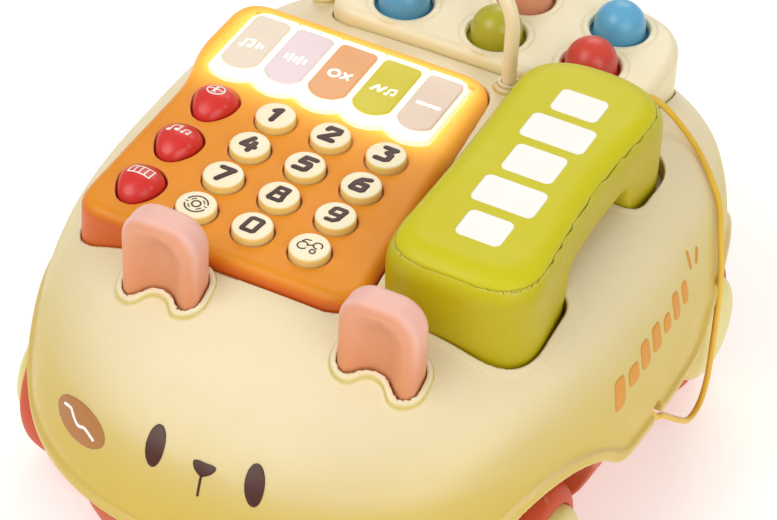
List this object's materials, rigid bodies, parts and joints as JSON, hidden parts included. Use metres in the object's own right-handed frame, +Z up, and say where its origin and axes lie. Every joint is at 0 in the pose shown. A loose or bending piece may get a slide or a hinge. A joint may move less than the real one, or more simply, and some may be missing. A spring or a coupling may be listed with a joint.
{
  "type": "toy phone car",
  "caption": "Toy phone on wheels: rabbit-faced shell with a keypad, piano keys, a lift-off handset on a cord, pop-up balls, ears and a bead arch.",
  "frame": {"origin": "on the ground plane, under the middle of the car's length and width", "axes": "+X to the toy's right seen from above with the face towards -Y; -Y forwards, to the rabbit face; +Z up"},
  "size_m": [0.212, 0.2696, 0.1566],
  "materials": {
    "shell_cream": "satin moulded ABS",
    "deck_cream": "satin moulded ABS",
    "arch_cream": "satin moulded ABS",
    "chassis_orange": "fine spark texture",
    "inner_plastic": "unpainted moulding",
    "panel_orange": "satin moulded ABS",
    "silicone": "moulded silicone",
    "circuit_board": "solder mask",
    "black_plastic": "fine texture",
    "battery": "printed sleeve",
    "steel": "zinc plated",
    "piano_key_1": "translucent white with a pale beige plate",
    "piano_key_2": "translucent white with a pale pink plate",
    "piano_key_3": "translucent white with a tan plate",
    "piano_key_4": "translucent white with a yellow-green plate",
    "piano_key_5": "translucent white with a pale beige plate",
    "button_red": "gloss moulded",
    "key_cream": "satin moulded with printed signs",
    "handset_cover_green": "satin moulded ABS",
    "handset_body_green": "satin moulded ABS",
    "cord_yellow": "soft PVC sleeve",
    "ear_pink": "soft moulded PVC",
    "pop_ball_1": "gloss moulded",
    "pop_ball_2": "gloss moulded",
    "pop_ball_3": "gloss moulded",
    "pop_ball_4": "gloss moulded",
    "pop_ball_5": "gloss moulded",
    "pop_ball_6": "gloss moulded",
    "wheel_orange": "fine texture",
    "cap_cream": "satin moulded"
  },
  "bodies": {
    "chassis": {"upper_shell": "shell_cream", "base_tray": "chassis_orange", "ball_deck": "deck_cream", "ball_tray": "inner_plastic", "keypad_panel": "panel_orange", "key_mat": "silicone", "main_pcb": "circuit_board", "speaker": "black_plastic", "batteries": "battery", "housing_screws": "steel", "handset_cord": "cord_yellow", "ear_left": "ear_pink", "ear_right": "ear_pink", "arch_tube": "arch_cream", "ball_spring_1": "steel", "ball_spring_2": "steel", "ball_spring_3": "steel", "ball_spring_4": "steel", "ball_spring_5": "steel", "ball_spring_6": "steel"},
    "front_wheels": {"front_axle": "steel", "wheel_front_left": "wheel_orange", "wheel_front_right": "wheel_orange", "hub_caps_front": "cap_cream"},
    "rear_wheels": {"rear_axle": "steel", "wheel_rear_left": "wheel_orange", "wheel_rear_right": "wheel_orange", "hub_caps_rear": "cap_cream"},
    "handset": {"handset_body": "handset_body_green", "handset_cover": "handset_cover_green"},
    "door": {"battery_door": "chassis_orange"},
    "door_screw": {"battery_door_screw": "steel"},
    "switch": {"power_switch": "black_plastic"},
    "piano_key_1_body": {"piano_key_1": "piano_key_1"},
    "piano_key_2_body": {"piano_key_2": "piano_key_2"},
    "piano_key_3_body": {"piano_key_3": "piano_key_3"},
    "piano_key_4_body": {"piano_key_4": "piano_key_4"},
    "piano_key_5_body": {"piano_key_5": "piano_key_5"},
    "mode_button_1_body": {"mode_button_1": "button_red"},
    "mode_button_2_body": {"mode_button_2": "button_red"},
    "mode_button_3_body": {"mode_button_3": "button_red"},
    "number_key_1_body": {"number_key_1": "key_cream"},
    "number_key_2_body": {"number_key_2": "key_cream"},
    "number_key_3_body": {"number_key_3": "key_cream"},
    "number_key_4_body": {"number_key_4": "key_cream"},
    "number_key_5_body": {"number_key_5": "key_cream"},
    "number_key_6_body": {"number_key_6": "key_cream"},
    "number_key_7_body": {"number_key_7": "key_cream"},
    "number_key_8_body": {"number_key_8": "key_cream"},
    "number_key_9_body": {"number_key_9": "key_cream"},
    "number_key_0_body": {"number_key_0": "key_cream"},
    "icon_key_left_body": {"icon_key_left": "key_cream"},
    "icon_key_right_body": {"icon_key_right": "key_cream"},
    "pop_ball_1_body": {"pop_ball_1": "pop_ball_1"},
    "pop_ball_2_body": {"pop_ball_2": "pop_ball_2"},
    "pop_ball_3_body": {"pop_ball_3": "pop_ball_3"},
    "pop_ball_4_body": {"pop_ball_4": "pop_ball_4"},
    "pop_ball_5_body": {"pop_ball_5": "pop_ball_5"},
    "pop_ball_6_body": {"pop_ball_6": "pop_ball_6"}
  },
  "joints": [
    {"name": "front_axle_spin", "type": "hinge", "parent": "chassis", "child": "front_wheels", "pos_m": [0, -0.064, 0.03], "axis": [1, 0, 0], "continuous": true},
    {"name": "rear_axle_spin", "type": "hinge", "parent": "chassis", "child": "rear_wheels", "pos_m": [0, 0.066, 0.03], "axis": [1, 0, 0], "continuous": true},
    {"name": "handset_lift", "type": "slide", "parent": "chassis", "child": "handset", "axis": [0, 0, 1], "range_m": [0, 0.06]},
    {"name": "door_lift_off", "type": "slide", "parent": "chassis", "child": "door", "axis": [0, 0, -1], "range_m": [0, 0.014]},
    {"name": "door_screw_out", "type": "slide", "parent": "door", "child": "door_screw", "axis": [0, 0, -1], "range_m": [0, 0.006]},
    {"name": "power_slide", "type": "slide", "parent": "chassis", "child": "switch", "axis": [1, 0, 0], "range_m": [0, 0.006]},
    {"name": "press_piano_1", "type": "slide", "parent": "chassis", "child": "piano_key_1_body", "axis": [0, 0, -1], "range_m": [0, 0.0018], "stiffness_N_per_m": 300},
    {"name": "press_piano_2", "type": "slide", "parent": "chassis", "child": "piano_key_2_body", "axis": [0, 0, -1], "range_m": [0, 0.0018], "stiffness_N_per_m": 300},
    {"name": "press_piano_3", "type": "slide", "parent": "chassis", "child": "piano_key_3_body", "axis": [0, 0, -1], "range_m": [0, 0.0018], "stiffness_N_per_m": 300},
    {"name": "press_piano_4", "type": "slide", "parent": "chassis", "child": "piano_key_4_body", "axis": [0, 0, -1], "range_m": [0, 0.0018], "stiffness_N_per_m": 300},
    {"name": "press_piano_5", "type": "slide", "parent": "chassis", "child": "piano_key_5_body", "axis": [0, 0, -1], "range_m": [0, 0.0018], "stiffness_N_per_m": 300},
    {"name": "press_mode_1", "type": "slide", "parent": "chassis", "child": "mode_button_1_body", "axis": [0, 0, -1], "range_m": [0, 0.002], "stiffness_N_per_m": 300},
    {"name": "press_mode_2", "type": "slide", "parent": "chassis", "child": "mode_button_2_body", "axis": [0, 0, -1], "range_m": [0, 0.002], "stiffness_N_per_m": 300},
    {"name": "press_mode_3", "type": "slide", "parent": "chassis", "child": "mode_button_3_body", "axis": [0, 0, -1], "range_m": [0, 0.002], "stiffness_N_per_m": 300},
    {"name": "press_number_1", "type": "slide", "parent": "chassis", "child": "number_key_1_body", "axis": [0, 0, -1], "range_m": [0, 0.002], "stiffness_N_per_m": 300},
    {"name": "press_number_2", "type": "slide", "parent": "chassis", "child": "number_key_2_body", "axis": [0, 0, -1], "range_m": [0, 0.002], "stiffness_N_per_m": 300},
    {"name": "press_number_3", "type": "slide", "parent": "chassis", "child": "number_key_3_body", "axis": [0, 0, -1], "range_m": [0, 0.002], "stiffness_N_per_m": 300},
    {"name": "press_number_4", "type": "slide", "parent": "chassis", "child": "number_key_4_body", "axis": [0, 0, -1], "range_m": [0, 0.002], "stiffness_N_per_m": 300},
    {"name": "press_number_5", "type": "slide", "parent": "chassis", "child": "number_key_5_body", "axis": [0, 0, -1], "range_m": [0, 0.002], "stiffness_N_per_m": 300},
    {"name": "press_number_6", "type": "slide", "parent": "chassis", "child": "number_key_6_body", "axis": [0, 0, -1], "range_m": [0, 0.002], "stiffness_N_per_m": 300},
    {"name": "press_number_7", "type": "slide", "parent": "chassis", "child": "number_key_7_body", "axis": [0, 0, -1], "range_m": [0, 0.002], "stiffness_N_per_m": 300},
    {"name": "press_number_8", "type": "slide", "parent": "chassis", "child": "number_key_8_body", "axis": [0, 0, -1], "range_m": [0, 0.002], "stiffness_N_per_m": 300},
    {"name": "press_number_9", "type": "slide", "parent": "chassis", "child": "number_key_9_body", "axis": [0, 0, -1], "range_m": [0, 0.002], "stiffness_N_per_m": 300},
    {"name": "press_number_0", "type": "slide", "parent": "chassis", "child": "number_key_0_body", "axis": [0, 0, -1], "range_m": [0, 0.002], "stiffness_N_per_m": 300},
    {"name": "press_icon_left", "type": "slide", "parent": "chassis", "child": "icon_key_left_body", "axis": [0, 0, -1], "range_m": [0, 0.002], "stiffness_N_per_m": 300},
    {"name": "press_icon_right", "type": "slide", "parent": "chassis", "child": "icon_key_right_body", "axis": [0, 0, -1], "range_m": [0, 0.002], "stiffness_N_per_m": 300},
    {"name": "push_ball_1", "type": "slide", "parent": "chassis", "child": "pop_ball_1_body", "axis": [0, 0, -1], "range_m": [0, 0.01], "stiffness_N_per_m": 120, "deforming": ["ball_spring_1"]},
    {"name": "push_ball_2", "type": "slide", "parent": "chassis", "child": "pop_ball_2_body", "axis": [0, 0, -1], "range_m": [0, 0.01], "stiffness_N_per_m": 120, "deforming": ["ball_spring_2"]},
    {"name": "push_ball_3", "type": "slide", "parent": "chassis", "child": "pop_ball_3_body", "axis": [0, 0, -1], "range_m": [0, 0.01], "stiffness_N_per_m": 120, "deforming": ["ball_spring_3"]},
    {"name": "push_ball_4", "type": "slide", "parent": "chassis", "child": "pop_ball_4_body", "axis": [0, 0, -1], "range_m": [0, 0.01], "stiffness_N_per_m": 120, "deforming": ["ball_spring_4"]},
    {"name": "push_ball_5", "type": "slide", "parent": "chassis", "child": "pop_ball_5_body", "axis": [0, 0, -1], "range_m": [0, 0.01], "stiffness_N_per_m": 120, "deforming": ["ball_spring_5"]},
    {"name": "push_ball_6", "type": "slide", "parent": "chassis", "child": "pop_ball_6_body", "axis": [0, 0, -1], "range_m": [0, 0.01], "stiffness_N_per_m": 120, "deforming": ["ball_spring_6"]}
  ]
}
